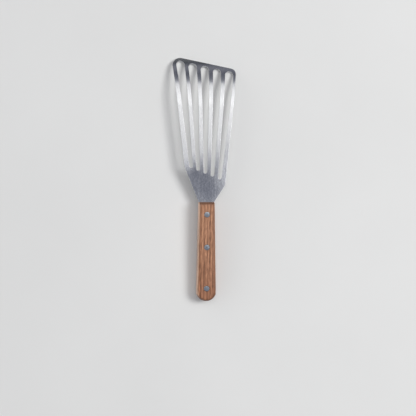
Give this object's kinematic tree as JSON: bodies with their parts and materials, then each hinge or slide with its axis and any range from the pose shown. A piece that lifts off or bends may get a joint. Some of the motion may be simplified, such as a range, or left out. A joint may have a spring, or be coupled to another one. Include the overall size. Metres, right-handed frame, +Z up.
{
  "type": "slotted spatula",
  "caption": "Slotted fish turner with a curled steel blade, slanted front edge and a riveted two-scale wooden handle on a full tang.",
  "frame": {"origin": "centre of the resting footprint, on the table, with the curled front edge and the butt touching it", "axes": "+Y along the tool from the butt to the front edge, +Z up from the table, +X to the right seen from above"},
  "size_m": [0.0768, 0.296, 0.0225],
  "materials": {
    "blade_steel": "fine satin brushed stainless steel",
    "handle_wood": "reddish-brown hardwood with fine lengthwise grain, oiled and satin",
    "rivet_steel": "polished stainless steel, slightly domed"
  },
  "bodies": {
    "root": {"blade": "blade_steel", "upper_scale": "handle_wood", "lower_scale": "handle_wood", "front_rivet_pin": "rivet_steel", "front_rivet_socket": "rivet_steel", "middle_rivet_pin": "rivet_steel", "middle_rivet_socket": "rivet_steel", "rear_rivet_pin": "rivet_steel", "rear_rivet_socket": "rivet_steel"}
  },
  "joints": []
}
